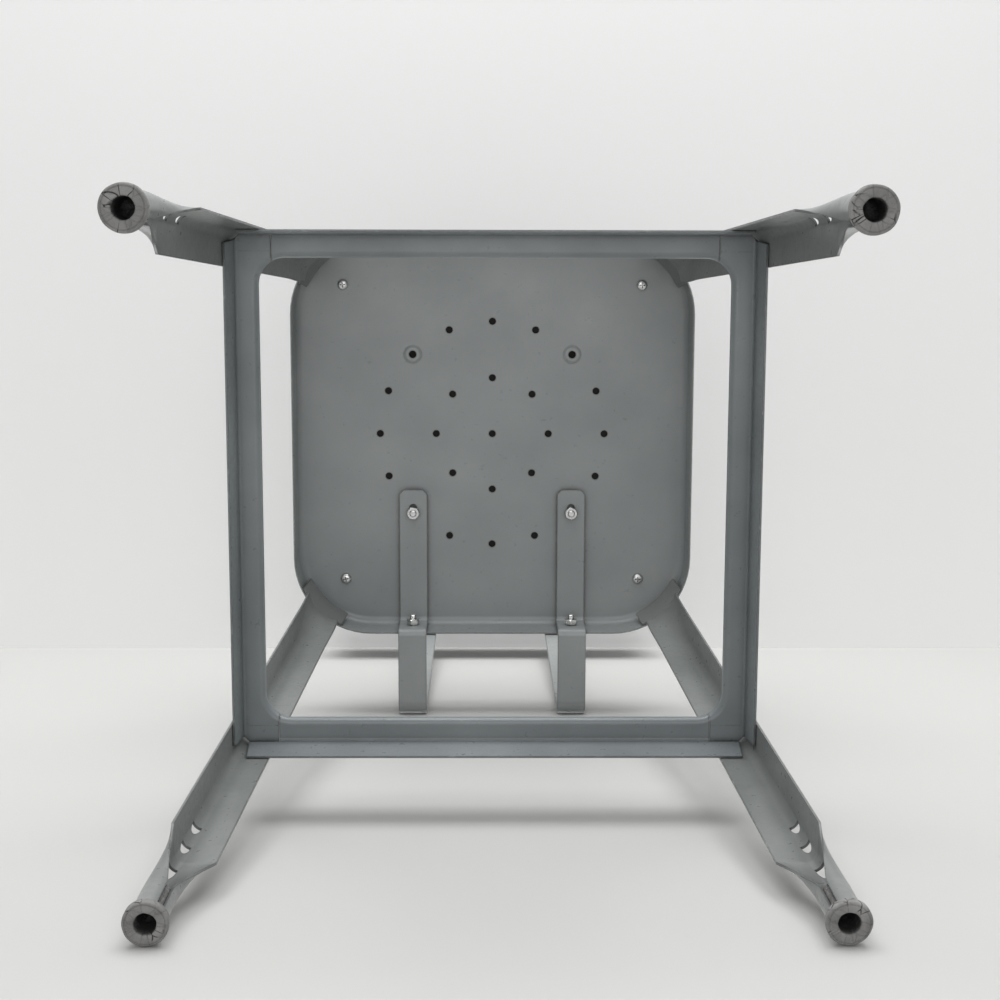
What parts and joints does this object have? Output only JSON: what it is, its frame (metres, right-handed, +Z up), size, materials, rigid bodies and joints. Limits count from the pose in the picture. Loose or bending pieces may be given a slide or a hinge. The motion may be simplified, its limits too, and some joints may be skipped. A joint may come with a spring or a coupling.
{
  "type": "stacking counter chair",
  "caption": "Counter-height stacking chair in painted pressed steel, with a perforated square seat, open trough legs, a footrest ring, a low back rail and a thin seat pad.",
  "frame": {"origin": "on the floor, under the middle of the chair's overall width and depth", "axes": "+Z up; the front of the seat is towards -Y and the back rail is at +Y; +X is on the right for a viewer standing in front of the chair"},
  "size_m": [0.402, 0.453, 0.97],
  "materials": {
    "paint": "satin mid-grey paint with a slight orange peel",
    "zinc": "bright zinc plate",
    "rubber": "grey-brown rubber, worn and cracked on the face",
    "board": "black-stained plywood",
    "vinyl": "black vinyl, fine grain, satin"
  },
  "bodies": {
    "root": {"seat_pan": "paint", "seat_board": "board", "seat_pad": "vinyl", "pad_screw_front_left": "zinc", "pad_screw_front_right": "zinc", "pad_screw_rear_left": "zinc", "pad_screw_rear_right": "zinc", "leg_rear_right": "paint", "leg_rear_left": "paint", "leg_front_left": "paint", "leg_front_right": "paint", "foot_rear_right": "rubber", "foot_rear_left": "rubber", "foot_front_left": "rubber", "foot_front_right": "rubber", "footrest_right": "paint", "footrest_left": "paint", "footrest_rear": "paint", "footrest_front": "paint", "back_rail": "paint", "back_support_left": "paint", "back_support_right": "paint", "rail_rivet_left_lower": "paint", "rail_rivet_left_upper": "paint", "rail_rivet_right_lower": "paint", "rail_rivet_right_upper": "paint", "forward_bolt_left": "zinc", "forward_nut_left": "zinc", "rim_bolt_left": "zinc", "rim_nut_left": "zinc", "forward_bolt_right": "zinc", "forward_nut_right": "zinc", "rim_bolt_right": "zinc", "rim_nut_right": "zinc"}
  },
  "joints": []
}
